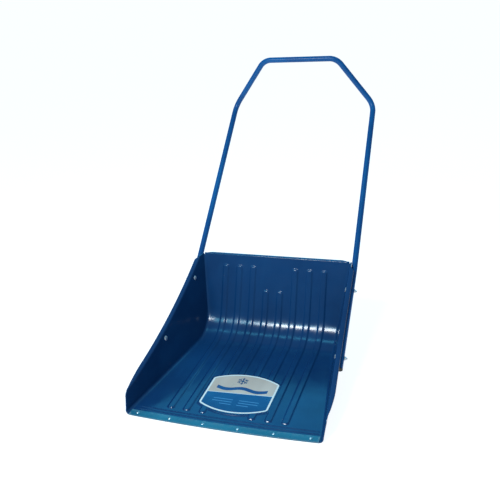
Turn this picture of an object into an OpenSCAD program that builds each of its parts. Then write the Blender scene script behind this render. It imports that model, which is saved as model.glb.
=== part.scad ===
// Sleigh snow shovel: a moulded scoop that is pushed along the ground by a bent tube handle.
// +Z is up, +Y runs from the open front lip to the handle and X runs across the scoop.
// The origin lies on the ground, under the middle of the flat floor of the scoop.

/* [Scoop] */
// width of the scoop across its front lip
scoop_w = 660; // [600:5:700]
// thickness of the moulded plastic
skin = 3.5; // [3:0.1:4.5]
// length of the flat floor, from the corners of the lip to the back curve
floor_len = 476; // [460:1:490]
// radius of the curve between the floor and the back wall
back_r = 140; // [125:1:150]
// lean of the back wall, measured from the ground
back_angle = 68; // [66:0.5:71]
// height of the rim at the back wall
rim_h = 290; // [286:1:296]
// how far the middle of the lip stands in front of its corners
lip_bow = 10; // [4:1:14]
// rounding between the floor and the side walls
foot_r = 14; // [10:1:20]
// how much each side wall moves in per millimetre towards the back
taper = 0.13; // [0.11:0.005:0.14]
// how much each side wall moves out per millimetre of height
flare = 0.19; // [0.16:0.005:0.21]

/* [Rim] */
// rake of the front edge of each side wall, along Y for its whole height
nose_rake = 30; // [20:1:36]
// height of the rim line where it crosses the corners of the lip
rim_front = 61; // [56:1:66]
// first slope of the rim line
rim_slope = 0.186; // [0.17:0.002:0.2]
// bend of the rim line, per square millimetre
rim_bend = 0.00026; // [0.00024:0.00001:0.00028]
// width of the outward flange on the rim
flange_w = 14; // [10:1:16]
// depth of the turned-down edge of the flange
flange_drop = 10; // [7:1:12]

/* [Ribs] */
// number of long ribs pressed into the floor and back wall
rib_count = 8; // [8:2:8]
// spacing of the long ribs
rib_pitch = 56; // [52:1:58]
// width of a long rib
rib_w = 24; // [18:1:28]
// height of a long rib above the floor
rib_h = 4; // [3:0.5:5]
// height at which the tall ribs end on the back wall
rib_top = 252; // [240:1:262]
// height at which the two short middle ribs end on the back wall
rib_top_mid = 168; // [160:1:200]

/* [Wear strip] */
// depth of the steel wear strip from front to back
strip_d = 26; // [24:1:30]
// thickness of the steel wear strip
strip_t = 1.5; // [1.2:0.1:2]
// number of rivets that hold the wear strip
rivet_count = 6; // [6:1:6]

/* [Handle] */
// outer diameter of the handle tube
tube_d = 22.2; // [21:0.1:23]
// wall thickness of the handle tube
tube_wall = 1.2; // [1:0.1:1.6]
// length of each leg between its lower and upper bend
leg_len = 751; // [700:1:780]
// rise of each leg above the ground
leg_angle = 42.7; // [40:0.1:45]
// half the distance between the upper bends
shoulder_half = 299; // [290:1:304]
// height of the grip bar above the upper bends
grip_rise = 193; // [170:1:210]
// how far the grip bar stands in front of the upper bends
grip_lean = 23; // [0:1:30]
// half the distance between the two corners of the grip bar
grip_half = 153; // [130:1:170]

/* [Fasteners] */
// diameter of the handle bolts
bolt_d = 6.2; // [6:0.1:6.4]
// distance of the front bolts from the lip
bolt_front_y = 304; // [296:1:312]
// height of the front bolts
bolt_front_z = 114; // [110:1:118]
// distance of the rear bolts from the lip
bolt_rear_y = 578; // [572:1:582]
// height of the rear bolts
bolt_rear_z = 227; // [222:1:230]

/* [Hidden] */
$fn = 48;
LEFT = -1;
RIGHT = 1;
half_w = scoop_w / 2;
reach = 900;            // longer than any part of the scoop
headroom = 400;         // higher than any part of the scoop
ground_clear = 60;      // how far cutting shapes run past the lip and the ground
curve_steps = 20;
rim_start = 50;         // where the side flange starts, behind the lip
rim_end = 640;          // where it stops, in front of the handle tube
nose_r = 16;            // rounding of the upper front corner of a side wall
back_flange_half = 272; // the back flange stops short of the handle tube
// ribs and ridges
rib_start = 60;
ridge_w = 5;
ridge_h = 2;
ridge_places = [36, 48];
ridge_half = half_w - foot_r * 1.5;
// label and the pad under it
label_mid = [6, 181];
label_w = 238;
label_len = 218;
label_arc_r = 220;
label_corner_r = 14;
label_t = 0.4;
pad_margin = 6;
// wear strip and rivets
strip_half = half_w - foot_r + 2;
lip_step = 22;          // step between the points of the curved lip
rivet_span = 582;
rivet_shank_d = 4.8;
rivet_head_d = 10;
rivet_head_h = 2;
rivet_foot_h = 1.2;
// bolts, washers and nuts, measured outwards from the side wall
bolt_front = [bolt_front_y, bolt_front_z];
bolt_rear = [bolt_rear_y, bolt_rear_z];
boss_h = 5;
boss_d = 24;
bolt_head_d = 18;
bolt_head_h = 3.5;
bolt_slack = 0.8;
washer_d = 16;
washer_t = 1.5;
nut_h = 5.5;
nut_flats = 11;
bolt_past_nut = 3;
// tube
tube_r = tube_d / 2;
tube_offset = boss_h + tube_r;
foot_past_bolt = 45;    // tube left in front of the front bolt
bend_past_bolt = 85;    // from the rear bolt to the lower bend
lower_bend_r = 120;
upper_bend_r = 60;
bend_seat = 1;          // each bend runs this far into the walls of its straights
bend_inset = 0.05;      // and its own walls are thinner by this on each face
plug_depth = 14;
plug_cap_t = 2.5;

// ---- places and directions -------------------------------------------------

function unit(v) = v / norm(v);
// half width of the outer face of the side walls
function wall_x(y, z) = half_w + flare * z - taper * y;
function wall_point(side, place) = [side * wall_x(place.x, place.y), place.x, place.y];
function wall_normal(side) = unit([side, taper, -flare]);
function lip_y(x) = -lip_bow * (1 - pow(x / half_w, 2));
function rim_z(y) = min(rim_h, rim_front + rim_slope * y + rim_bend * y * y);
// the curve between floor and back wall, moved inwards by off
function back_curve(off) = [for (i = [0 : curve_steps])
    let (a = back_angle * i / curve_steps)
    [floor_len + (back_r - off) * sin(a), back_r - (back_r - off) * cos(a)]];
// a point on the back wall at height z, moved inwards by off
function back_point(off, z) =
    let (foot = [floor_len + (back_r - off) * sin(back_angle), back_r - (back_r - off) * cos(back_angle)])
    [foot.x + (z - foot.y) / tan(back_angle), z];
// a track from rib_start along the floor and up the back wall
function track(off, top) = concat([[rib_start, off]], back_curve(off), [back_point(off, top)]);
function reversed(list) = [for (i = [len(list) - 1 : -1 : 0]) list[i]];
// handle path on one side: foot, lower bend, upper bend, corner of the grip bar
run_dir = unit(bolt_rear - bolt_front);
function run_point(side, place) = wall_point(side, place) + tube_offset * wall_normal(side);
function lower_bend(side) = run_point(side, bolt_rear + bend_past_bolt * run_dir);
function half_path(side) =
    let (low = lower_bend(side))
    let (top_y = low.y + leg_len * cos(leg_angle), top_z = low.z + leg_len * sin(leg_angle))
    [run_point(side, bolt_front - foot_past_bolt * run_dir), low,
     [side * shoulder_half, top_y, top_z], [side * grip_half, top_y - grip_lean, top_z + grip_rise]];
tube_path = concat(half_path(LEFT), reversed(half_path(RIGHT)));
bend_radii = [0, lower_bend_r, upper_bend_r, upper_bend_r, upper_bend_r, upper_bend_r, lower_bend_r, 0];

// ---- helpers ----------------------------------------------------------------

// moves everything from the lip to the origin under the middle of the floor
module from_lip() { translate([0, -floor_len / 2, 0]) children(); }
// extrudes a side view, drawn in Y and Z, across the scoop
module across(width) { rotate([90, 0, 90]) linear_extrude(width, center = true) children(); }
// turns children so that their +Z runs along direction
module facing(direction) {
    rotate([0, acos(direction.z / norm(direction)), atan2(direction.y, direction.x)]) children();
}
// puts children on a side wall, with +Z straight out of it
module on_wall(side, place) { translate(wall_point(side, place)) facing(wall_normal(side)) children(); }

// the space between the two flared side walls, grown outwards by grow
module between_walls(grow, low = -ground_clear) {
    ends = [[-ground_clear, low], [reach, low], [reach, headroom], [-ground_clear, headroom]];
    n = norm([1, taper, flare]);
    left = [for (e = ends) [-wall_x(e.x, e.y) - grow * n, e.x, e.y]];
    right = [for (e = ends) [wall_x(e.x, e.y) + grow * n, e.x, e.y]];
    faces = [[0, 1, 2, 3], [7, 6, 5, 4], [4, 5, 1, 0], [5, 6, 2, 1], [6, 7, 3, 2], [7, 4, 0, 3]];
    polyhedron(concat(left, right), faces);
}

// the same space with a rounded edge along the foot of each wall
module tub(off) {
    n = norm([1, taper, flare]);
    hull() {
        between_walls(-off, low = foot_r * 2);
        for (side = [LEFT, RIGHT]) {
            start = [side * (wall_x(-ground_clear, foot_r) - foot_r * n), -ground_clear, foot_r];
            end = [side * (wall_x(reach, foot_r) - foot_r * n), reach, foot_r];
            translate(start) facing(end - start) cylinder(r = foot_r - off, h = norm(end - start), $fn = 32);
        }
    }
}

// ---- scoop ------------------------------------------------------------------

// side view of the hollow above the floor, moved inwards by off
module tray_side(off) {
    polygon(concat([[-ground_clear, off]], back_curve(off),
                   [back_point(off, headroom), [-ground_clear, headroom]]));
}

// side view of everything below the rim line
module rim_side() {
    back_end = back_point(0, rim_h);
    step = (rim_end - nose_rake) / curve_steps;
    line = [for (i = [0 : curve_steps]) let (y = nose_rake + i * step) [y, rim_z(y)]];
    offset(r = nose_r) offset(delta = -nose_r)
        polygon(concat([[-nose_rake, -ground_clear]], line,
                       [[back_end.x + ground_clear, rim_h], [back_end.x + ground_clear, -ground_clear]]));
}

// side view of a band of the given depth under the rim line
module rim_band(depth) {
    step = (rim_end - rim_start) / curve_steps;
    line = [for (i = [0 : curve_steps]) let (y = rim_start + i * step) [y, rim_z(y)]];
    polygon(concat(line, reversed([for (p = line) [p.x, p.y - depth]])));
}

// plan of the lip from one strip edge to the other, between two distances behind it
module lip_plan(half, from_y, to_y) {
    inner = ceil(half / lip_step) - 1;
    places = concat([-half], [for (i = [-inner : inner]) i * lip_step], [half]);
    near = [for (x = places) [x, lip_y(x) + from_y]];
    far = [for (x = places) [x, lip_y(x) + to_y]];
    polygon(concat(near, reversed(far)));
}

module scoop_shell() {
    intersection() {
        difference() {
            intersection() {
                across(reach) tray_side(0);
                tub(0);
            }
            intersection() {
                across(reach) tray_side(skin);
                tub(skin);
            }
        }
        across(reach) rim_side();
        translate([0, 0, -1]) linear_extrude(headroom) lip_plan(scoop_w * 0.6, 0, reach);
    }
}

module rim_flange() {
    difference() {
        intersection() {
            across(reach) rim_band(skin);
            between_walls(flange_w);
        }
        between_walls(-skin / 2);
    }
    difference() {
        intersection() {
            across(reach) rim_band(flange_drop);
            between_walls(flange_w);
        }
        between_walls(flange_w - skin);
    }
    edge = back_point(0, rim_h);
    across(2 * back_flange_half) polygon([
        back_point(skin / 2, rim_h), edge + [flange_w, 0], edge + [flange_w, -flange_drop],
        edge + [flange_w - skin, -flange_drop], edge + [flange_w - skin, -skin],
        back_point(skin / 2, rim_h - skin)]);
}

module long_ribs() {
    first = -(rib_count - 1) / 2;
    for (i = [0 : rib_count - 1]) {
        top = abs(first + i) < 1 ? rib_top_mid : rib_top;
        translate([(first + i) * rib_pitch, 0, 0])
            across(rib_w) polygon(concat(track(skin / 2, top), reversed(track(skin + rib_h, top))));
    }
}

module cross_ridges() {
    for (y = ridge_places)
        translate([0, 0, skin / 2])
            linear_extrude(skin / 2 + ridge_h) lip_plan(ridge_half, y - ridge_w / 2, y + ridge_w / 2);
}

// outline of the label: straight sides, bowed front and back edges
module label_plan(margin) {
    translate(label_mid) offset(r = label_corner_r + margin) offset(delta = -label_corner_r) intersection() {
        square([label_w, label_len], center = true);
        intersection_for(side = [-1, 1])
            translate([0, side * (label_arc_r - label_len / 2)]) circle(label_arc_r, $fn = 96);
    }
}

module scoop() {
    color([0.09, 0.20, 0.38]) from_lip() difference() {
        union() {
            scoop_shell();
            rim_flange();
            long_ribs();
            cross_ridges();
            translate([0, 0, skin / 2]) linear_extrude(skin / 2 + rib_h) label_plan(pad_margin);
            for (side = [LEFT, RIGHT], place = [bolt_front, bolt_rear])
                on_wall(side, place) translate([0, 0, -skin / 2]) cylinder(d = boss_d, h = skin / 2 + boss_h);
        }
        for (side = [LEFT, RIGHT], place = [bolt_front, bolt_rear])
            on_wall(side, place) translate([0, 0, -2 * skin])
                cylinder(d = bolt_d + bolt_slack, h = 2 * skin + 2 * boss_h);
        for (i = [0 : rivet_count - 1])
            translate(rivet_place(i)) {
                translate([0, 0, -1]) cylinder(d = rivet_shank_d, h = skin + 2);
                translate([0, 0, -1]) cylinder(d = rivet_head_d, h = 1 + rivet_foot_h);
            }
    }
}

// ---- wear strip and rivets ---------------------------------------------------

function rivet_place(i) =
    let (x = -rivet_span / 2 + i * rivet_span / (rivet_count - 1))
    [x, lip_y(x) + strip_d / 2, 0];

module wear_strip() {
    color([0.20, 0.44, 0.52]) from_lip() difference() {
        union() {
            translate([0, 0, skin]) linear_extrude(strip_t) lip_plan(strip_half, -strip_t, strip_d);
            linear_extrude(skin + strip_t) lip_plan(strip_half, -strip_t, 0);
        }
        for (i = [0 : rivet_count - 1])
            translate(rivet_place(i) + [0, 0, -1]) cylinder(d = rivet_shank_d, h = skin + strip_t + 2);
    }
}

module rivet(i) {
    head_r = rivet_head_d / 2;
    ball_r = (head_r * head_r + rivet_head_h * rivet_head_h) / (2 * rivet_head_h);
    color([0.72, 0.78, 0.80]) from_lip() translate(rivet_place(i)) {
        cylinder(d = rivet_head_d, h = rivet_foot_h);
        cylinder(d = rivet_shank_d, h = skin + strip_t + rivet_head_h / 2);
        translate([0, 0, skin + strip_t]) intersection() {
            translate([0, 0, rivet_head_h - ball_r]) sphere(ball_r);
            cylinder(r = head_r, h = rivet_head_h);
        }
    }
}

module label() {
    color([0.66, 0.66, 0.66]) from_lip() translate([0, 0, skin + rib_h]) linear_extrude(label_t) label_plan(0);
}

// ---- handle ------------------------------------------------------------------

function bend_angle(i) = acos(unit(tube_path[i] - tube_path[i - 1]) * unit(tube_path[i + 1] - tube_path[i]));
// length taken from each straight next to bend i
function bend_trim(i) = bend_radii[i] == 0 ? 0 : bend_radii[i] * tan(bend_angle(i) / 2);

module tube_section(inset) {
    difference() {
        circle(tube_r - inset);
        circle(tube_r - tube_wall + inset);
    }
}

module tube_straight(i) {
    dir = unit(tube_path[i + 1] - tube_path[i]);
    start = tube_path[i] + bend_trim(i) * dir;
    end = tube_path[i + 1] - bend_trim(i + 1) * dir;
    translate(start) facing(dir) linear_extrude(norm(end - start)) tube_section(0);
}

module tube_bend(i) {
    into = unit(tube_path[i] - tube_path[i - 1]);
    out = unit(tube_path[i + 1] - tube_path[i]);
    inward = unit(out - (out * into) * into);
    middle = tube_path[i] - bend_trim(i) * into + bend_radii[i] * inward;
    side = cross(-inward, into);
    seat = bend_seat / bend_radii[i] * 180 / PI;
    multmatrix([[-inward.x, into.x, side.x, middle.x],
                [-inward.y, into.y, side.y, middle.y],
                [-inward.z, into.z, side.z, middle.z],
                [0, 0, 0, 1]])
        rotate([0, 0, -seat]) rotate_extrude(angle = bend_angle(i) + 2 * seat, $fn = 96)
            translate([bend_radii[i], 0]) tube_section(bend_inset);
}

module handle_tube() {
    color([0.08, 0.33, 0.55]) from_lip() difference() {
        union() {
            for (i = [0 : len(tube_path) - 2]) tube_straight(i);
            for (i = [1 : len(tube_path) - 2]) tube_bend(i);
        }
        for (side = [LEFT, RIGHT], place = [bolt_front, bolt_rear])
            on_wall(side, place) cylinder(d = bolt_d + bolt_slack, h = 2 * tube_d);
    }
}

module tube_plug(side) {
    path = half_path(side);
    color([0.05, 0.06, 0.08]) from_lip() translate(path[0]) facing(path[1] - path[0]) {
        cylinder(r = tube_r - tube_wall, h = plug_depth);
        translate([0, 0, -plug_cap_t]) cylinder(r = tube_r, h = plug_cap_t);
    }
}

// ---- bolts, washers and nuts ---------------------------------------------------

module bolt(side, place) {
    head_r = bolt_head_d / 2;
    ball_r = (head_r * head_r + bolt_head_h * bolt_head_h) / (2 * bolt_head_h);
    shank = skin + boss_h + tube_d + washer_t + nut_h + bolt_past_nut;
    color([0.62, 0.66, 0.70]) from_lip() on_wall(side, place) translate([0, 0, -skin]) {
        cylinder(d = bolt_d, h = shank);
        rotate([180, 0, 0]) intersection() {
            translate([0, 0, bolt_head_h - ball_r]) sphere(ball_r);
            cylinder(r = head_r, h = bolt_head_h);
        }
    }
}

module washer(side, place) {
    color([0.62, 0.66, 0.70]) from_lip() on_wall(side, place) translate([0, 0, boss_h + tube_d]) difference() {
        cylinder(d = washer_d, h = washer_t);
        translate([0, 0, -1]) cylinder(d = bolt_d + bolt_slack, h = washer_t + 2);
    }
}

module nut(side, place) {
    color([0.62, 0.66, 0.70]) from_lip() on_wall(side, place)
        translate([0, 0, boss_h + tube_d + washer_t]) difference() {
            cylinder(d = nut_flats / cos(30), h = nut_h, $fn = 6);
            translate([0, 0, -1]) cylinder(d = bolt_d, h = nut_h + 2);
        }
}

// ---- the assembly ---------------------------------------------------------------

scoop();
handle_tube();
wear_strip();
label();
rivet(0);  // rivet_1
rivet(1);  // rivet_2
rivet(2);  // rivet_3
rivet(3);  // rivet_4
rivet(4);  // rivet_5
rivet(5);  // rivet_6
bolt(LEFT, bolt_front);  // bolt_front_left
bolt(RIGHT, bolt_front);  // bolt_front_right
bolt(LEFT, bolt_rear);  // bolt_rear_left
bolt(RIGHT, bolt_rear);  // bolt_rear_right
washer(LEFT, bolt_front);  // washer_front_left
washer(RIGHT, bolt_front);  // washer_front_right
washer(LEFT, bolt_rear);  // washer_rear_left
washer(RIGHT, bolt_rear);  // washer_rear_right
nut(LEFT, bolt_front);  // nut_front_left
nut(RIGHT, bolt_front);  // nut_front_right
nut(LEFT, bolt_rear);  // nut_rear_left
nut(RIGHT, bolt_rear);  // nut_rear_right
tube_plug(LEFT);  // tube_plug_left
tube_plug(RIGHT);  // tube_plug_right
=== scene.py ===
"""Looks of the sleigh snow shovel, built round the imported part. Units are metres, in the part's own frame."""
import math

import bmesh
import bpy
from mathutils import Matrix, Vector


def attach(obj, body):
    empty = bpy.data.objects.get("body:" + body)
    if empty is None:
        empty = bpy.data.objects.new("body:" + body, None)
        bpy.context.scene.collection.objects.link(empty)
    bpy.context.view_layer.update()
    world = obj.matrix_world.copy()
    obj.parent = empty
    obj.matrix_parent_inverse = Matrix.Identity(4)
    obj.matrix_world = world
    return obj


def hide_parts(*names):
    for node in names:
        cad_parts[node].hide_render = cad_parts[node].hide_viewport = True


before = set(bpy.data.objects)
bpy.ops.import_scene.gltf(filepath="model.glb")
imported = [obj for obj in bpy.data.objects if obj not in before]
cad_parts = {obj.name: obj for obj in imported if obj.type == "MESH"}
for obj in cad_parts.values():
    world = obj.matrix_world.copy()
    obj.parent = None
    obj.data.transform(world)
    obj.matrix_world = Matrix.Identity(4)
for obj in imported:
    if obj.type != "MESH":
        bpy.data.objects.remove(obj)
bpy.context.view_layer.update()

LEFT = -1
RIGHT = 1
SIDES = {"left": LEFT, "right": RIGHT}

# ---- sizes of the part. y is measured from the corners of the lip until the mesh is done ----

HALF_W = 0.330          # half width of the scoop at its lip
SKIN = 0.0035           # thickness of the moulded plastic
FLOOR_LEN = 0.476
BACK_R = 0.140
BACK_ANGLE = math.radians(68)
RIM_H = 0.290
LIP_BOW = 0.010
BOW_LEN = 0.12          # the bow of the lip fades out over this length
FOOT_R = 0.014
FOOT_SHARE = 0.6        # the foot takes at most this share of a low wall
TAPER = 0.13
FLARE = 0.19
FLARE_NORM = math.sqrt(1 + TAPER**2 + FLARE**2)
NOSE_RAKE = 0.030
RAKE_LEN = 0.28         # the rake of the walls' front edges fades out over this length
NOSE_R = 0.016
RIM_FRONT = 0.061
RIM_SLOPE = 0.186
RIM_BEND = 0.26
RIM_TURN = 0.005        # rounding where a wall turns over into its flange
FLANGE_W = 0.014
FLANGE_DROP = 0.010
FLANGE_GROWS = (0.024, 0.150)
FLANGE_FADES = (0.630, 0.646)
BACK_FLANGE_HALF = 0.272
BACK_FLANGE_EASE = 0.008
EDGE_R = 0.0045         # rounding of the outer edge of a flange
EDGE_SHARE = 0.45       # and its limit, as a share of the flange's depth
BEAD_W = 0.0025         # the rim never turns out less than this
BEAD_DROP = 0.002
BEAD_GROWS = (NOSE_RAKE + NOSE_R, NOSE_RAKE + 0.05)
NOSE_DROP = 0.0008      # depth of the turned edge round the front corner of a wall
RIB_COUNT = 8
RIB_PITCH = 0.056
RIB_W = 0.024
RIB_H = 0.004
RIB_FADES = (-0.0040, 0.0015)   # the slope of a rib's side, measured out from its outline
RIBS_HALF = (RIB_COUNT - 1) / 2 * RIB_PITCH + RIB_W / 2 + 0.006
RIB_END_R = 0.009       # rounding of the ends of the ribs, seen from above
RIB_START = 0.060
RIB_START_MID = 0.076   # the two middle ribs start under the label's pad
RIB_TOP = 0.252
RIB_TOP_MID = 0.168
RIDGE_PLACES = (0.036, 0.048)
RIDGE_W = 0.005
RIDGE_H = 0.002
RIDGE_FADE = RIDGE_W * 0.7
RIDGE_HALF = HALF_W - FOOT_R * 1.5
RIDGE_EASE = 0.004
LABEL_MID = (0.006, 0.181)
LABEL_W = 0.238
LABEL_LEN = 0.218
LABEL_ARC_R = 0.220
LABEL_BORDER = 0.006
LABEL_BARS = ((0.045, -0.040, 0.034), (0.045, -0.053, 0.034), (0.030, -0.066, 0.020))  # x, y, half length
LABEL_BAR_HALF_W = 0.0018
PAD_MARGIN = 0.006
PAD_FADES = (PAD_MARGIN - 0.005, PAD_MARGIN + 0.002)
STRIP_D = 0.026
STRIP_T = 0.0015
STRIP_HALF = HALF_W - FOOT_R + 0.002
RIVET_COUNT = 6
RIVET_SPAN = 0.582
BOLT_PLACES = {"front": (0.304, 0.114), "rear": (0.578, 0.227)}
BOLT_R = 0.0031
BOLT_HEAD_R = 0.009
BOLT_HEAD_H = 0.0035
BOSS_R = 0.012
BOSS_H = 0.005
WASHER_R = 0.008
WASHER_T = 0.0015
NUT_FLATS = 0.011
NUT_H = 0.0055
BOLT_PAST_NUT = 0.003
TUBE_R = 0.0111
TUBE_WALL = 0.0012
LEG_LEN = 0.751
LEG_ANGLE = math.radians(42.7)
SHOULDER_HALF = 0.299
GRIP_RISE = 0.193
GRIP_LEAN = 0.023
GRIP_HALF = 0.153
LOWER_BEND_R = 0.120
UPPER_BEND_R = 0.060
FOOT_PAST_BOLT = 0.045
BEND_PAST_BOLT = 0.085
PLUG_CAP_T = 0.0025
PLUG_DEPTH = 0.014
LIP_TO_FRAME = Vector((0, -FLOOR_LEN / 2, 0))
TINY = 0.0002
MERGE = 0.00015         # points closer than this become one


def smooth(low, high, value):
    """0 below low, 1 above high, and a soft step between them."""
    t = min(1.0, max(0.0, (value - low) / (high - low)))
    return t * t * (3 - 2 * t)


def wall_x(y, z):
    """Half width of the outer face of the side walls."""
    return HALF_W + FLARE * z - TAPER * y


def rim_z(y):
    return min(RIM_H, RIM_FRONT + RIM_SLOPE * y + RIM_BEND * y * y)


def lip_y(x):
    return -LIP_BOW * (1 - min(1.0, abs(x) / HALF_W) ** 2)


def wall_normal(side):
    return Vector((side, TAPER, -FLARE)).normalized()


def wall_point(side, place):
    return Vector((side * wall_x(*place), *place))


def facing(point, direction):
    """A matrix that puts the origin at point, with +Z along direction."""
    return Matrix.Translation(point) @ direction.to_track_quat("Z", "X").to_matrix().to_4x4()


# ---- mesh helpers ------------------------------------------------------------


def mesh_from(bm, name, sharp_degrees=35, closed=True):
    if closed:
        bmesh.ops.recalc_face_normals(bm, faces=bm.faces)
    data = bpy.data.meshes.new(name)
    bm.to_mesh(data)
    bm.free()
    data.transform(Matrix.Translation(LIP_TO_FRAME))
    data.shade_smooth()
    data.set_sharp_from_angle(angle=math.radians(sharp_degrees))
    return data


def add_piece(bm_or_mesh, name, material, replaced=()):
    data = bm_or_mesh if isinstance(bm_or_mesh, bpy.types.Mesh) else mesh_from(bm_or_mesh, name)
    piece = bpy.data.objects.new(name, data)
    bpy.context.scene.collection.objects.link(piece)
    data.materials.append(material)
    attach(piece, "root")
    if replaced:
        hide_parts(*replaced)
    return piece


def skin_rings(bm, rings, closed_ring=True, cap=False):
    """Joins rings of points, all of one length, into a surface."""
    loops = [[bm.verts.new(p) for p in ring] for ring in rings]
    count = len(loops[0])
    span = count if closed_ring else count - 1
    for near, far in zip(loops, loops[1:]):
        for i in range(span):
            j = (i + 1) % count
            bm.faces.new((near[i], near[j], far[j], far[i]))
    if cap:
        bm.faces.new(loops[0][::-1])
        bm.faces.new(loops[-1])
    return loops


def turned(bm, profile, place, steps=48, shape=None):
    """Turns a profile of (radius, height) points round +Z of place; a radius of 0 closes an end."""
    loops = []
    for radius, height in profile:
        angles = [2 * math.pi * k / steps for k in range(steps if radius else 1)]
        radii = [min(radius, shape(a)) if shape else radius for a in angles]
        loops.append([
            bm.verts.new(place @ Vector((r * math.cos(a), r * math.sin(a), height)))
            for r, a in zip(radii, angles)
        ])
    for near, far in zip(loops, loops[1:]):
        for i in range(steps):
            j = (i + 1) % steps
            if len(near) == 1:
                bm.faces.new((near[0], far[j], far[i]))
            elif len(far) == 1:
                bm.faces.new((near[i], near[j], far[0]))
            else:
                bm.faces.new((near[i], near[j], far[j], far[i]))


def arc(centre, radius, start, end, steps):
    """Points on an arc, as pairs, from one angle in degrees to another."""
    angles = [math.radians(start + (end - start) * k / steps) for k in range(steps + 1)]
    return [(centre[0] + radius * math.cos(a), centre[1] + radius * math.sin(a)) for a in angles]


def dome(radius, height, base, up=1, steps=7):
    """Profile of a low dome from its rim, at height base, to its top."""
    ball = (radius**2 + height**2) / (2 * height)
    heights = [height * math.sin(math.pi / 2 * k / steps) for k in range(steps + 1)]
    radii = [math.sqrt(max(0.0, ball**2 - (ball - height + h) ** 2)) for h in heights[:-1]]
    return [(r, base + up * h) for r, h in zip(radii, heights)] + [(0, base + up * height)]


# ---- scoop ------------------------------------------------------------------

ARC_LEN = (BACK_R - SKIN) * BACK_ANGLE
ARC_END = (
    FLOOR_LEN + (BACK_R - SKIN) * math.sin(BACK_ANGLE),
    BACK_R - (BACK_R - SKIN) * math.cos(BACK_ANGLE),
)
WALL_LEN = (RIM_H - RIM_TURN - ARC_END[1]) / math.sin(BACK_ANGLE)
TRACK_LEN = FLOOR_LEN + ARC_LEN + WALL_LEN
FOOT_STEPS = 8          # faces round the foot of a side wall
WALL_STEPS = 24
EDGE_STEPS = 4
FLAT_STEPS = 3
DROP_STEPS = 2
BACK_TURN_STEPS = 5
RIB_STEPS = 176         # faces across the ribs
SIDE_STEPS = 8          # faces between the ribs and the foot of a wall


def track(s):
    """The upper face's side view at distance s from the lip: y, z and the slope angle."""
    if s <= FLOOR_LEN:
        return s, SKIN, 0.0
    if s <= FLOOR_LEN + ARC_LEN:
        a = (s - FLOOR_LEN) / (BACK_R - SKIN)
        return FLOOR_LEN + (BACK_R - SKIN) * math.sin(a), BACK_R - (BACK_R - SKIN) * math.cos(a), a
    along = s - FLOOR_LEN - ARC_LEN
    return ARC_END[0] + along * math.cos(BACK_ANGLE), ARC_END[1] + along * math.sin(BACK_ANGLE), BACK_ANGLE


def track_at(z):
    """Distance from the lip of a point at height z on the back wall."""
    return FLOOR_LEN + ARC_LEN + (z - ARC_END[1]) / math.sin(BACK_ANGLE)


def pad_height(x, s):
    """The flat pad under the label, with bowed front and back edges."""
    dx, dy = x - LABEL_MID[0], s - LABEL_MID[1]
    arc_mid = LABEL_ARC_R - LABEL_LEN / 2
    outside = max(
        abs(dx) - LABEL_W / 2,
        math.hypot(dx, dy - arc_mid) - LABEL_ARC_R,
        math.hypot(dx, dy + arc_mid) - LABEL_ARC_R,
    )
    return RIB_H * (1 - smooth(*PAD_FADES, outside))


def rib_height(x, s):
    """A long rib with soft shoulders and rounded ends; the two middle ones stop lower on the back wall."""
    index = round(x / RIB_PITCH + (RIB_COUNT - 1) / 2)
    if not 0 <= index < RIB_COUNT:
        return 0.0
    middle = (index - (RIB_COUNT - 1) / 2) * RIB_PITCH
    end = track_at(RIB_TOP_MID if abs(middle) < RIB_PITCH else RIB_TOP)
    past_side = max(0.0, abs(x - middle) - RIB_W / 2 + RIB_END_R)
    start = RIB_START_MID if abs(middle) < RIB_PITCH else RIB_START
    past_end = max(0.0, start + RIB_END_R - s, s - end + RIB_END_R)
    outside = math.hypot(past_side, past_end) - RIB_END_R
    return RIB_H * (1 - smooth(*RIB_FADES, outside))


def ridge_height(x, s):
    across = 1 - smooth(RIDGE_HALF - RIDGE_EASE, RIDGE_HALF, abs(x))
    return max(RIDGE_H * (1 - smooth(0.0, RIDGE_FADE, abs(s - y))) for y in RIDGE_PLACES) * across


def raised(x, s):
    return max(pad_height(x, s), rib_height(x, s), ridge_height(x, s))


def edge_rounding(drop):
    return min(EDGE_R, drop * EDGE_SHARE)


def flange_size(y):
    """Reach and depth of the side flange, which fades to a bead at both ends."""
    full = smooth(*FLANGE_GROWS, y) * (1 - smooth(*FLANGE_FADES, y))
    grown = smooth(*BEAD_GROWS, y)
    bead, drop = BEAD_W * grown, NOSE_DROP + (BEAD_DROP - NOSE_DROP) * grown
    return bead + (FLANGE_W - bead) * full, drop + (FLANGE_DROP - drop) * full


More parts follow.
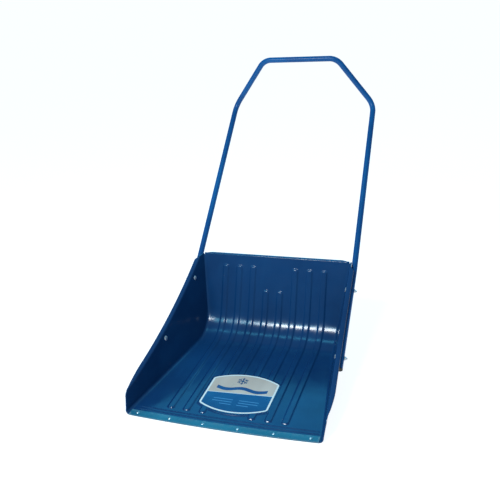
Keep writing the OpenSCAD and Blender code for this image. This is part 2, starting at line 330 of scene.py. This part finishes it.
def wall_column(side, s):
    """Points from the foot of a side wall up to its rim and out over the flange, on one cross line."""
    y0, z0, _ = track(s)
    shift = NOSE_RAKE * (1 - smooth(0.0, RAKE_LEN, s))
    y_top = y0 + shift
    nose = max(0.0, NOSE_R - y_top + NOSE_RAKE)
    z_top = max(z0 + TINY, rim_z(y_top) - NOSE_R + math.sqrt(NOSE_R**2 - nose**2))
    rise = z_top - z0
    rake = shift / max(rim_z(y_top) - z0, FOOT_R)
    bow = 1 - smooth(0.0, BOW_LEN, s)

    def on_wall(z, out=0.0):
        y = y0 + rake * (z - z0)
        return Vector((side * (wall_x(y, z) - SKIN * FLARE_NORM + out), y, z))

    radius = min(FOOT_R - SKIN, rise * FOOT_SHARE)
    lean = math.atan(FLARE)
    foot_x = wall_x(y0, z0 + radius) - SKIN * FLARE_NORM - radius / math.cos(lean)
    points = []
    for k in range(FOOT_STEPS + 1):
        a = (math.pi / 2 - lean) * k / FOOT_STEPS
        x, up = foot_x + radius * math.sin(a), radius * (1 - math.cos(a))
        y = y0 + rake * up + lip_y(x) * bow
        points.append(Vector((side * x, y, z0 + up)))
    start_z = points[-1].z
    width, drop = flange_size(y_top)
    reach = width + SKIN * FLARE_NORM
    turn = min(RIM_TURN, reach * 0.5, max(z_top - start_z, TINY))
    wall_top = z_top - turn
    points += [on_wall(start_z + (wall_top - start_z) * k / WALL_STEPS) for k in range(1, WALL_STEPS + 1)]
    edge_r = edge_rounding(drop)
    flat_end = reach - edge_r
    edge = arc((flat_end, -edge_r), edge_r, 90, 0, EDGE_STEPS)[1:]
    points += [on_wall(z_top + up, out) for out, up in arc((turn, -turn), turn, 180, 90, EDGE_STEPS)[1:]]
    points += [on_wall(z_top, turn + (flat_end - turn) * k / FLAT_STEPS) for k in range(1, FLAT_STEPS + 1)]
    points += [on_wall(z_top + up, out) for out, up in edge]
    edge_z = z_top - edge_r
    points += [on_wall(edge_z - (drop - edge_r) * k / DROP_STEPS, reach) for k in range(1, DROP_STEPS + 1)]
    return points, foot_x


def row_places():
    """Distances from the lip of the scoop's cross lines, close together where there is detail."""
    arc_start, wall_start = FLOOR_LEN, FLOOR_LEN + ARC_LEN
    stretches = [(0.0, 0.030, 0.0018), (0.030, 0.095, 0.0011), (0.095, 0.31, 0.0024)]
    stretches += [(0.31, arc_start, 0.006), (arc_start, wall_start, 0.0045), (wall_start, TRACK_LEN, 0.0022)]
    places = []
    for start, end, step in stretches:
        count = math.ceil((end - start) / step)
        places += [start + (end - start) * k / count for k in range(count)]
    return places + [TRACK_LEN]


def floor_line(s, foot_x):
    """One cross line of the floor or back wall, between the feet of the side walls."""
    y0, z0, slope = track(s)
    bow = 1 - smooth(0.0, BOW_LEN, s)
    edge = [RIBS_HALF + (foot_x - RIBS_HALF) * k / SIDE_STEPS for k in range(1, SIDE_STEPS)]
    xs = [-x for x in reversed(edge)]
    xs += [RIBS_HALF * (2 * k / RIB_STEPS - 1) for k in range(RIB_STEPS + 1)]
    line = []
    for x in xs + edge:
        up = raised(x, s)
        line.append(Vector((x, y0 + lip_y(x) * bow - up * math.sin(slope), z0 + up * math.cos(slope))))
    return line


def back_flange_line(x):
    """Side view of the back flange at one place across the scoop, as distances back and up from the rim."""
    wide = 1 - smooth(BACK_FLANGE_HALF - BACK_FLANGE_EASE, BACK_FLANGE_HALF + BACK_FLANGE_EASE, abs(x))
    reach = SKIN + BEAD_W + (FLANGE_W - BEAD_W) * wide
    drop = BEAD_DROP + (FLANGE_DROP - BEAD_DROP) * wide
    edge_r = edge_rounding(drop)
    flat_end = reach - edge_r
    middle = (RIM_TURN + reach) / 2 if flat_end > RIM_TURN else flat_end
    line = arc((RIM_TURN, 0.0), RIM_TURN, 180, 90, BACK_TURN_STEPS)[1:]
    line += [(middle, RIM_TURN), (flat_end, RIM_TURN)]
    line += arc((flat_end, RIM_TURN - edge_r), edge_r, 90, 0, EDGE_STEPS)[1:]
    return line + [(reach, RIM_TURN - drop)]


def add_back_flange(bm, row):
    """The rim of the back wall turns out to the rear and down, wide between the legs of the handle."""
    lines = [back_flange_line(vert.co.x) for vert in row]
    rings = [row]
    for k in range(len(lines[0])):
        rings.append([
            bm.verts.new((v.co.x, v.co.y + line[k][0], v.co.z + line[k][1])) for v, line in zip(row, lines)
        ])
    for near, far in zip(rings, rings[1:]):
        for i in range(len(row) - 1):
            bm.faces.new((near[i], near[i + 1], far[i + 1], far[i]))


def scoop_mesh():
    bm = bmesh.new()
    rows = []
    for s in row_places():
        left, foot_x = wall_column(LEFT, s)
        right, _ = wall_column(RIGHT, s)
        rows.append(left[::-1] + floor_line(s, foot_x) + right)
    loops = skin_rings(bm, rows, closed_ring=False)
    wall_count = len(left) - 1
    add_back_flange(bm, loops[-1][wall_count:-wall_count])
    bmesh.ops.remove_doubles(bm, verts=bm.verts, dist=MERGE)
    bm.normal_update()
    bm.faces.ensure_lookup_table()
    on_floor = Vector((0.2, 0.35, SKIN))
    floor_face = min(bm.faces, key=lambda f: (f.calc_center_median() - on_floor).length)
    if floor_face.normal.z < 0:
        bmesh.ops.reverse_faces(bm, faces=bm.faces)
    return mesh_from(bm, "scoop_shell", sharp_degrees=60, closed=False)


def make_scoop(material):
    scoop = add_piece(scoop_mesh(), "scoop_body", material, ["scoop"])
    solid = scoop.modifiers.new("skin", "SOLIDIFY")
    solid.thickness = SKIN
    solid.offset = -1


def make_bosses(material):
    """Moulded pads outside the side walls that the tube is bolted against."""
    bm = bmesh.new()
    skirt, ease = 0.0012, 0.0008
    profile = [(BOLT_R, -SKIN / 2), (BOSS_R + skirt, -SKIN / 2), (BOSS_R + skirt, TINY), (BOSS_R, skirt)]
    profile += arc((BOSS_R - ease, BOSS_H - ease), ease, 0, 90, 4)
    profile += [(BOLT_R, BOSS_H), (BOLT_R, -SKIN / 2)]
    for side in SIDES.values():
        for place in BOLT_PLACES.values():
            turned(bm, profile, facing(wall_point(side, place), wall_normal(side)))
    add_piece(bm, "scoop_bosses", material)


# ---- wear strip and rivets ----------------------------------------------------


def make_wear_strip(material):
    """A folded steel strip over the lip, with a rounded nose and eased edges."""
    bm = bmesh.new()
    top, nose_r, ease = SKIN + STRIP_T, 0.0013, 0.0004
    section = [(-STRIP_T, ease)] + arc((-STRIP_T + nose_r, top - nose_r), nose_r, 180, 90, 6)
    section += [(STRIP_D - ease, top), (STRIP_D, top - ease), (STRIP_D, SKIN + TINY)]
    section += [(-TINY, SKIN + TINY), (-TINY, TINY), (-STRIP_T + ease, TINY)]
    steps = 88
    rings = []
    for k in range(steps + 1):
        x = STRIP_HALF * (2 * k / steps - 1)
        rings.append([Vector((x, lip_y(x) + y, z)) for y, z in section])
    skin_rings(bm, rings, cap=True)
    add_piece(bm, "wear_strip_steel", material, ["wear_strip"])


def make_rivets(material):
    top = SKIN + STRIP_T
    head_r, shank_r, head_h, foot_h, ease = 0.005, 0.0024, 0.002, 0.0012, 0.0004
    profile = [(0, -TINY), (head_r - ease, -TINY), (head_r, ease), (head_r, foot_h), (shank_r, foot_h)]
    profile += [(shank_r, top), (head_r, top), (head_r, top + TINY)]
    profile += dome(head_r - TINY, head_h - ease, top + ease)
    for i in range(RIVET_COUNT):
        bm = bmesh.new()
        x = RIVET_SPAN * (i / (RIVET_COUNT - 1) - 0.5)
        turned(bm, profile, Matrix.Translation((x, lip_y(x) + STRIP_D / 2, 0)))
        add_piece(bm, f"rivet_body_{i + 1}", material, [f"rivet_{i + 1}"])


# ---- handle ------------------------------------------------------------------


def run_point(side, along):
    """A point on the axis of the tube beside a wall, measured along the run from the front bolt."""
    front, rear = (Vector(BOLT_PLACES[name]) for name in ("front", "rear"))
    place = front + (rear - front).normalized() * along
    return wall_point(side, place) + wall_normal(side) * (BOSS_H + TUBE_R)


def half_path(side):
    bolt_gap = (Vector(BOLT_PLACES["rear"]) - Vector(BOLT_PLACES["front"])).length
    low = run_point(side, bolt_gap + BEND_PAST_BOLT)
    top_y = low.y + LEG_LEN * math.cos(LEG_ANGLE)
    top_z = low.z + LEG_LEN * math.sin(LEG_ANGLE)
    return [
        run_point(side, -FOOT_PAST_BOLT),
        low,
        Vector((side * SHOULDER_HALF, top_y, top_z)),
        Vector((side * GRIP_HALF, top_y - GRIP_LEAN, top_z + GRIP_RISE)),
    ]


def rounded_path(corners, radii, turn_step=math.radians(3)):
    """Corners joined by straights, with an arc at each inner corner. Gives points and directions."""
    path = [(corners[0], (corners[1] - corners[0]).normalized())]
    for before, corner, after, radius in zip(corners, corners[1:], corners[2:], radii):
        into, out = (corner - before).normalized(), (after - corner).normalized()
        bend = into.angle(out)
        trim = radius * math.tan(bend / 2)
        inward = (out - into * out.dot(into)).normalized()
        middle = corner - into * trim + inward * radius
        steps = math.ceil(bend / turn_step)
        for k in range(steps + 1):
            a = bend * k / steps
            path.append((
                middle - inward * radius * math.cos(a) + into * radius * math.sin(a),
                into * math.cos(a) + inward * math.sin(a),
            ))
    path.append((corners[-1], (corners[-1] - corners[-2]).normalized()))
    return path


def make_tube(material):
    corners = half_path(LEFT) + half_path(RIGHT)[::-1]
    radii = [LOWER_BEND_R] + [UPPER_BEND_R] * 4 + [LOWER_BEND_R]
    steps = 40
    rings = []
    across = Vector((1, 0, 0))
    for point, direction in rounded_path(corners, radii):
        across = (across - direction * across.dot(direction)).normalized()
        up = direction.cross(across)
        angles = [2 * math.pi * k / steps for k in range(steps)]
        rings.append([point + (across * math.cos(a) + up * math.sin(a)) * TUBE_R for a in angles])
    bm = bmesh.new()
    skin_rings(bm, rings, cap=True)
    add_piece(bm, "handle_tube_body", material, ["handle_tube"])


def make_plugs(material):
    bore = TUBE_R - TUBE_WALL
    cap_edge, ease = 0.0014, 0.001
    profile = [(0, -PLUG_CAP_T), (TUBE_R * 0.6, -PLUG_CAP_T)]
    profile += arc((bore, -PLUG_CAP_T + cap_edge), cap_edge, -90, 0, 5)
    profile += [(TUBE_R + TINY, -TINY), (bore, TINY), (bore, PLUG_DEPTH - ease), (bore - ease, PLUG_DEPTH)]
    profile += [(0, PLUG_DEPTH)]
    for name, side in SIDES.items():
        bm = bmesh.new()
        foot, bend = half_path(side)[:2]
        turned(bm, profile, facing(foot, bend - foot))
        add_piece(bm, f"plug_body_{name}", material, [f"tube_plug_{name}"])


# ---- bolts, washers and nuts ----------------------------------------------------


def thread(start, end, pitch=0.0008, depth=0.0003):
    """Profile of a run of rolled thread."""
    count = max(1, round((end - start) / pitch))
    step = (end - start) / count
    profile = []
    for k in range(count):
        profile += [(BOLT_R - depth, start + k * step), (BOLT_R, start + (k + 0.5) * step)]
    return profile


def bolt_profile():
    nut_top = BOSS_H + 2 * TUBE_R + WASHER_T + NUT_H
    end = nut_top + BOLT_PAST_NUT
    edge = 0.0005
    profile = dome(BOLT_HEAD_R - TINY, BOLT_HEAD_H - edge, -SKIN - edge, up=-1)[::-1]
    profile += [(BOLT_HEAD_R, -SKIN - edge / 2), (BOLT_HEAD_R, -SKIN), (BOLT_R, -SKIN)]
    profile += thread(nut_top - NUT_H - WASHER_T, end - edge)
    return profile + [(BOLT_R - edge, end), (0, end)]


def hexagon(angle):
    """Distance from the centre to the side of the nut's hexagon."""
    turned_angle = (angle + math.pi / 6) % (math.pi / 3) - math.pi / 6
    return NUT_FLATS / 2 / math.cos(turned_angle)


def nut_profile(base):
    """A nut with chamfered corners and a rounded locking collar on its outer end."""
    corner = NUT_FLATS / 2 / math.cos(math.pi / 6)
    flat, collar_r, hex_top = NUT_FLATS / 2, 0.0047, base + 0.0042
    chamfer, ease = 0.0005, 0.0006
    profile = [(BOLT_R, base), (flat, base), (corner, base + chamfer)]
    profile += [(corner, hex_top - chamfer), (flat, hex_top), (collar_r, hex_top + TINY)]
    profile += arc((collar_r - ease, base + NUT_H - ease), ease, 0, 90, 3)
    return profile + [(BOLT_R, base + NUT_H), (BOLT_R, base)]


def washer_profile(base):
    ease = 0.0003
    profile = [(BOLT_R, base), (WASHER_R - ease, base), (WASHER_R, base + ease)]
    profile += [(WASHER_R, base + WASHER_T - ease), (WASHER_R - ease, base + WASHER_T)]
    return profile + [(BOLT_R, base + WASHER_T), (BOLT_R, base)]


def make_fasteners(material):
    tube_top = BOSS_H + 2 * TUBE_R
    kinds = {
        "bolt": (bolt_profile(), None),
        "washer": (washer_profile(tube_top), None),
        "nut": (nut_profile(tube_top + WASHER_T), hexagon),
    }
    for side_name, side in SIDES.items():
        for place_name, place in BOLT_PLACES.items():
            for kind, (profile, shape) in kinds.items():
                bm = bmesh.new()
                turned(bm, profile, facing(wall_point(side, place), wall_normal(side)), shape=shape)
                where = f"{place_name}_{side_name}"
                add_piece(bm, f"{kind}_body_{where}", material, [f"{kind}_{where}"])


# ---- materials ---------------------------------------------------------------


class Shader:
    """A material under construction: a principled shader and the nodes that feed it."""

    def __init__(self, name, roughness=0.4, metallic=0.0, specular=0.5, coat=0.0):
        self.material = bpy.data.materials.new(name)
        self.material.use_nodes = True
        self.tree = self.material.node_tree
        self.out = self.tree.nodes["Principled BSDF"]
        self.out.inputs["Roughness"].default_value = roughness
        self.out.inputs["Metallic"].default_value = metallic
        self.out.inputs["Specular IOR Level"].default_value = specular
        self.out.inputs["Coat Weight"].default_value = coat
        self.out.inputs["Coat Roughness"].default_value = 0.08
        self.coords = self.tree.nodes.new("ShaderNodeTexCoord").outputs["Object"]

    def link(self, source, socket):
        self.tree.links.new(source, socket)

    def put(self, value, socket):
        if isinstance(value, bpy.types.NodeSocket):
            self.link(value, socket)
        else:
            socket.default_value = value

    def put_color(self, color, socket):
        self.put(color if isinstance(color, bpy.types.NodeSocket) else (*color, 1), socket)

    def axis(self, index):
        """Position along X, Y or Z of the part."""
        node = self.tree.nodes.new("ShaderNodeSeparateXYZ")
        self.link(self.coords, node.inputs[0])
        return node.outputs[index]

    def math(self, operation, *values):
        node = self.tree.nodes.new("ShaderNodeMath")
        node.operation = operation
        for value, socket in zip(values, node.inputs):
            self.put(value, socket)
        return node.outputs[0]

    def plus(self, first, second):
        return self.math("ADD", first, second)

    def minus(self, first, second):
        return self.math("SUBTRACT", first, second)

    def times(self, first, second):
        return self.math("MULTIPLY", first, second)

    def absolute(self, value):
        return self.math("ABSOLUTE", value)

    def larger(self, first, second):
        return self.math("MAXIMUM", first, second)

    def length(self, first, second):
        return self.math("SQRT", self.plus(self.math("POWER", first, 2), self.math("POWER", second, 2)))

    def inside(self, distance, soft=0.0006):
        """1 where a distance is below 0, 0 above it."""
        return self.spread(distance, -soft, soft, 1.0, 0.0)

    def noise(self, scale, detail=4.0, roughness=0.55, stretch=(1, 1, 1), shift=0.0):
        mapping = self.tree.nodes.new("ShaderNodeMapping")
        mapping.inputs["Scale"].default_value = stretch
        mapping.inputs["Location"].default_value = (shift, shift, shift)
        self.link(self.coords, mapping.inputs["Vector"])
        node = self.tree.nodes.new("ShaderNodeTexNoise")
        node.inputs["Scale"].default_value = scale
        node.inputs["Detail"].default_value = detail
        node.inputs["Roughness"].default_value = roughness
        self.link(mapping.outputs[0], node.inputs["Vector"])
        return node.outputs[0]

    def spread(self, value, low, high, to_low=0.0, to_high=1.0):
        node = self.tree.nodes.new("ShaderNodeMapRange")
        node.interpolation_type = "SMOOTHSTEP"
        for name, number in zip(("From Min", "From Max", "To Min", "To Max"), (low, high, to_low, to_high)):
            node.inputs[name].default_value = number
        self.link(value, node.inputs["Value"])
        return node.outputs[0]

    def mix(self, factor, first, second):
        node = self.tree.nodes.new("ShaderNodeMix")
        node.data_type = "RGBA"
        self.put(factor, node.inputs["Factor"])
        for value, socket in ((first, node.inputs[6]), (second, node.inputs[7])):
            self.put_color(value, socket)
        return node.outputs[2]

    def bump(self, *layers):
        """Stacks (height, strength, distance) layers."""
        normal = None
        for height, strength, distance in layers:
            node = self.tree.nodes.new("ShaderNodeBump")
            node.inputs["Strength"].default_value = strength
            node.inputs["Distance"].default_value = distance
            self.link(height, node.inputs["Height"])
            if normal:
                self.link(normal, node.inputs["Normal"])
            normal = node.outputs[0]
        self.link(normal, self.out.inputs["Normal"])

    def edges(self, low=0.52, high=0.6):
        """1 along convex edges, fading to 0 on flat faces."""
        geometry = self.tree.nodes.new("ShaderNodeNewGeometry")
        return self.spread(geometry.outputs["Pointiness"], low, high)

    def finish(self, color, roughness):
        self.put_color(color, self.out.inputs["Base Color"])
        self.put(roughness, self.out.inputs["Roughness"])
        return self.material


def scoop_plastic():
    """Glossy moulded plastic, with faint flow marks, fine scratches along the sliding direction and a painted
    highlight that lightens convex edges and the rim.
    """
    shader = Shader("scoop_plastic", specular=0.36)
    broad = shader.noise(3.2, detail=3)
    flow = shader.noise(7.0, detail=3, stretch=(3.0, 0.5, 1.0), shift=2.0)
    grain = shader.noise(420, detail=2)
    fine = shader.noise(2.6, detail=6, roughness=0.7, stretch=(170, 2.2, 60), shift=5.0)
    scratches = shader.spread(fine, 0.64, 0.74)
    color = shader.mix(shader.spread(broad, 0.3, 0.7), (0.0040, 0.030, 0.098), (0.0056, 0.046, 0.140))
    color = shader.mix(shader.spread(flow, 0.5, 0.75, 0, 0.35), color, (0.008, 0.058, 0.160))
    near_lip = shader.spread(shader.axis(1), -0.18, 0.12, 0.42, 0.14)
    color = shader.mix(shader.times(scratches, near_lip), color, (0.035, 0.105, 0.22))
    # Painted highlight: convex edges and the rim are lightened towards a pale teal blue.
    color = shader.mix(shader.times(shader.edges(), 0.3), color, (0.02, 0.09, 0.21))
    roughness = shader.spread(shader.noise(26, detail=5, shift=9.0), 0.3, 0.7, 0.13, 0.22)
    roughness = shader.plus(roughness, shader.times(scratches, 0.12))
    shader.bump((shader.noise(11, detail=2), 0.25, 0.0011), (grain, 0.10, 0.0002), (scratches, 0.10, 0.0002))
    return shader.finish(color, roughness)


def handle_paint():
    """Blue powder coat with a slight orange-peel surface and small chips."""
    shader = Shader("handle_paint", specular=0.22)
    broad = shader.noise(9, detail=3)
    chips = shader.spread(shader.noise(160, detail=5, roughness=0.7), 0.70, 0.74)
    color = shader.mix(shader.spread(broad, 0.3, 0.7), (0.0030, 0.060, 0.200), (0.0040, 0.084, 0.255))
    color = shader.mix(shader.times(chips, 0.5), color, (0.06, 0.12, 0.2))
    roughness = shader.spread(shader.noise(70, detail=4, shift=3.0), 0.3, 0.7, 0.24, 0.36)
    shader.bump((shader.noise(520, detail=2), 0.12, 0.0003), (chips, 0.15, 0.0002))
    return shader.finish(color, shader.plus(roughness, shader.times(chips, 0.2)))


def strip_steel():
    """Blue-green coat on the wear strip, rubbed through at its edges."""
    shader = Shader("strip_steel", specular=0.5, coat=0.1)
    broad = shader.noise(14, detail=4, stretch=(0.4, 1, 1))
    scuffs = shader.spread(shader.noise(3.0, detail=6, roughness=0.7, stretch=(60, 6, 60)), 0.60, 0.72)
    worn = shader.times(shader.edges(0.53, 0.6), shader.spread(shader.noise(90, detail=4), 0.4, 0.6))
    color = shader.mix(shader.spread(broad, 0.3, 0.7), (0.010, 0.108, 0.180), (0.018, 0.150, 0.230))
    color = shader.mix(shader.times(scuffs, 0.35), color, (0.10, 0.30, 0.36))
    color = shader.mix(shader.times(worn, 0.7), color, (0.36, 0.40, 0.41))
    roughness = shader.spread(shader.noise(60, detail=4, shift=4.0), 0.3, 0.7, 0.26, 0.42)
    shader.bump((shader.noise(300, detail=3), 0.1, 0.0003), (scuffs, 0.12, 0.0002))
    return shader.finish(color, roughness)


def bare_metal(name, dark, light, rough_low, rough_high, grain_scale):
    """Plain metal with a dull film, fine grain and small pits."""
    shader = Shader(name, metallic=0.9)
    film = shader.spread(shader.noise(grain_scale * 0.12, detail=4), 0.35, 0.7)
    pits = shader.spread(shader.noise(grain_scale, detail=4, roughness=0.7, shift=2.0), 0.62, 0.72)
    color = shader.mix(film, light, dark)
    color = shader.mix(shader.times(pits, 0.4), color, tuple(c * 0.4 for c in dark))
    roughness = shader.spread(shader.noise(grain_scale * 0.4, detail=3), 0.3, 0.7, rough_low, rough_high)
    shader.bump((shader.noise(grain_scale, detail=3), 0.15, 0.0002), (pits, 0.2, 0.0002))
    return shader.finish(color, roughness)


def plug_plastic():
    shader = Shader("plug_plastic", specular=0.4)
    broad = shader.noise(120, detail=4)
    color = shader.mix(shader.spread(broad, 0.3, 0.7), (0.012, 0.013, 0.016), (0.024, 0.026, 0.03))
    color = shader.mix(shader.times(shader.edges(), 0.4), color, (0.06, 0.062, 0.066))
    roughness = shader.spread(shader.noise(200, detail=3, shift=1.0), 0.3, 0.7, 0.42, 0.6)
    shader.bump((shader.noise(700, detail=2), 0.2, 0.0003))
    return shader.finish(color, roughness)


def label_outline(shader, x, y):
    """Distance outside the edge of the label, which has bowed ends and straight sides."""
    arc_mid = LABEL_ARC_R - LABEL_LEN / 2
    near = shader.minus(shader.length(x, shader.plus(y, -arc_mid)), LABEL_ARC_R)
    far = shader.minus(shader.length(x, shader.plus(y, arc_mid)), LABEL_ARC_R)
    sides = shader.minus(shader.absolute(x), LABEL_W / 2)
    return shader.larger(shader.larger(near, far), sides)


def snow_crystal(shader, x, y):
    """1 on a snow crystal of six arms, each with a pair of barbs."""
    arm_half_w, arm_len = 0.0018, 0.020
    barb_at, barb_half_w, barb_reach = 0.0095, 0.0019, 0.0065
    sixth = math.pi / 3
    cx, cy = shader.plus(x, 0.012), shader.minus(y, 0.070)
    reach = shader.length(cx, cy)
    turn = shader.plus(shader.math("ARCTAN2", cy, cx), 10 * sixth)
    fold = shader.absolute(shader.minus(shader.math("MODULO", turn, sixth), sixth / 2))
    along = shader.times(reach, shader.math("COSINE", fold))
    off = shader.times(reach, shader.math("SINE", fold))
    arm = shader.larger(shader.minus(off, arm_half_w), shader.minus(along, arm_len))
    barb_line = shader.absolute(shader.minus(shader.minus(along, off), barb_at))
    barb = shader.larger(shader.minus(barb_line, barb_half_w), shader.minus(off, barb_reach))
    return shader.inside(shader.math("MINIMUM", arm, barb))


def drift_line(shader, x, y):
    """1 on a thick wavy line, like the crest of a snow drift."""
    height, half_w, half_len = 0.006, 0.0085, 0.090
    crest = shader.times(shader.math("COSINE", shader.times(x, 58.0)), height)
    from_wave = shader.absolute(shader.minus(shader.minus(y, 0.022), crest))
    past_ends = shader.minus(shader.absolute(x), half_len)
    return shader.inside(shader.larger(shader.minus(from_wave, half_w), past_ends))


def bar(shader, x, y, centre, half):
    """1 inside a straight-sided bar."""
    dx = shader.minus(shader.absolute(shader.minus(x, centre[0])), half[0])
    dy = shader.minus(shader.absolute(shader.minus(y, centre[1])), half[1])
    return shader.inside(shader.larger(dx, dy))


def label_print(shader, x, y):
    """Colour of the print: silver behind, blue in front, with a line, a crystal, a drift and plain bars."""
    sheen = shader.spread(shader.noise(9, detail=2, stretch=(1, 0.3, 1)), 0.3, 0.7)
    silver = shader.mix(sheen, (0.60, 0.41, 0.32), (0.76, 0.55, 0.44))
    blue = shader.mix(shader.spread(y, -0.10, 0.0), (0.003, 0.050, 0.165), (0.006, 0.080, 0.225))
    divide = shader.minus(y, shader.times(x, 0.06))
    color = shader.mix(shader.spread(divide, -0.0026, -0.0014), blue, silver)
    line = shader.inside(shader.minus(shader.absolute(shader.plus(divide, 0.002)), 0.0012))
    color = shader.mix(line, color, (0.75, 0.76, 0.78))
    color = shader.mix(snow_crystal(shader, x, y), color, (0.012, 0.040, 0.130))
    color = shader.mix(drift_line(shader, x, y), color, (0.014, 0.060, 0.200))
    for bar_x, bar_y, half_len in LABEL_BARS:
        for side in SIDES.values():
            shape = bar(shader, x, y, (side * bar_x, bar_y), (half_len, LABEL_BAR_HALF_W))
            color = shader.mix(shape, color, (0.07, 0.22, 0.42))
    return color


def label_film():
    """Printed film with a pale border and a few scuffs."""
    shader = Shader("label_film", specular=0.35, coat=0.1)
    x = shader.minus(shader.axis(0), LABEL_MID[0])
    y = shader.minus(shader.axis(1), LABEL_MID[1] + LIP_TO_FRAME.y)
    field = shader.inside(shader.plus(label_outline(shader, x, y), LABEL_BORDER))
    color = shader.mix(field, (0.88, 0.80, 0.74), label_print(shader, x, y))
    scuffs = shader.spread(shader.noise(3.0, detail=6, roughness=0.7, stretch=(120, 3, 60)), 0.66, 0.76)
    color = shader.mix(shader.times(scuffs, 0.2), color, (0.45, 0.47, 0.5))
    roughness = shader.spread(shader.noise(40, detail=4), 0.3, 0.7, 0.26, 0.4)
    shader.bump((shader.noise(24, detail=2), 0.12, 0.0006), (scuffs, 0.1, 0.0001))
    return shader.finish(color, roughness)


# ---- stage -------------------------------------------------------------------


def make_stage():
    """A wide pale floor just under the shovel."""
    half_size, gap = 120.0, 0.0008
    bm = bmesh.new()
    corners = ((-1, -1), (1, -1), (1, 1), (-1, 1))
    bm.faces.new([bm.verts.new((x * half_size, y * half_size, 0)) for x, y in corners])
    data = bpy.data.meshes.new("stage_floor")
    bm.to_mesh(data)
    bm.free()
    floor = bpy.data.objects.new("stage_floor", data)
    bpy.context.scene.collection.objects.link(floor)
    floor.location.z = -gap
    shader = Shader("stage_white", roughness=0.9, specular=0.1)
    shader.out.inputs["Emission Color"].default_value = (0.97, 0.98, 1.0, 1)
    shader.out.inputs["Emission Strength"].default_value = 0.93
    data.materials.append(shader.finish((0.42, 0.42, 0.42), 0.9))


def make_world():
    world = bpy.data.worlds.new("studio")
    bpy.context.scene.world = world
    world.use_nodes = True
    sky = world.node_tree.nodes["Background"].inputs
    sky["Color"].default_value = (0.42, 0.74, 1.0, 1)
    sky["Strength"].default_value = 0.34
    bpy.context.scene.view_settings.view_transform = "Standard"


def make_camera():
    """The camera stands in front and to the right, a little above the grip bar, tilted a few degrees."""
    azimuth, elevation, roll = map(math.radians, (19.63, 22.83, -4.28))
    target = Vector((-0.0244, 0.2375, 0.4062))
    distance = 2.4
    data = bpy.data.cameras.new("camera")
    camera = bpy.data.objects.new("camera", data)
    bpy.context.scene.collection.objects.link(camera)
    back = Vector((
        math.sin(azimuth) * math.cos(elevation),
        -math.cos(azimuth) * math.cos(elevation),
        math.sin(elevation),
    ))
    camera.location = target + back * distance
    camera.rotation_mode = "QUATERNION"
    tilt = Matrix.Rotation(roll, 3, "Z").to_quaternion()
    camera.rotation_quaternion = (-back).to_track_quat("-Z", "Y") @ tilt
    data.sensor_width = 36
    data.lens = 48.96
    bpy.context.scene.camera = camera


def add_light(name, place, target, size, power, color=(1, 1, 1)):
    data = bpy.data.lights.new(name, "AREA")
    data.shape = "RECTANGLE"
    data.size, data.size_y = size
    data.energy = power
    data.color = color
    light = bpy.data.objects.new(name, data)
    bpy.context.scene.collection.objects.link(light)
    light.location = place
    light.rotation_mode = "QUATERNION"
    light.rotation_quaternion = (Vector(target) - Vector(place)).to_track_quat("-Z", "Y")


def make_lights():
    add_light("key_strip", (-0.52, -1.58, 2.40), (0.10, 0.35, 0.05), (0.85, 0.36), 42)
    add_light("key_wide", (-1.05, -1.50, 2.35), (-0.10, 0.35, 0.05), (2.0, 0.50), 26, (0.15, 0.72, 1.0))
    add_light("overhead_strip", (-0.25, 0.22, 2.4), (-0.25, 0.22, 0), (1.8, 0.26), 8, (0.12, 0.70, 1.0))
    add_light("rear_panel", (-0.6, 3.4, 2.6), (0, 0, 0.1), (4.5, 2.2), 48, (0.01, 0.60, 1.0))


def make_object():
    plastic = scoop_plastic()
    zinc = bare_metal("zinc_steel", (0.62, 0.64, 0.66), (0.82, 0.83, 0.84), 0.32, 0.50, 900)
    make_scoop(plastic)
    make_bosses(plastic)
    make_wear_strip(strip_steel())
    make_rivets(bare_metal("rivet_metal", (0.58, 0.62, 0.64), (0.78, 0.80, 0.81), 0.24, 0.38, 800))
    make_tube(handle_paint())
    make_plugs(plug_plastic())
    make_fasteners(zinc)
    label = bpy.data.objects["label"]
    label.data.materials.clear()
    label.data.materials.append(label_film())


make_camera()
make_stage()
make_world()
make_lights()
make_object()
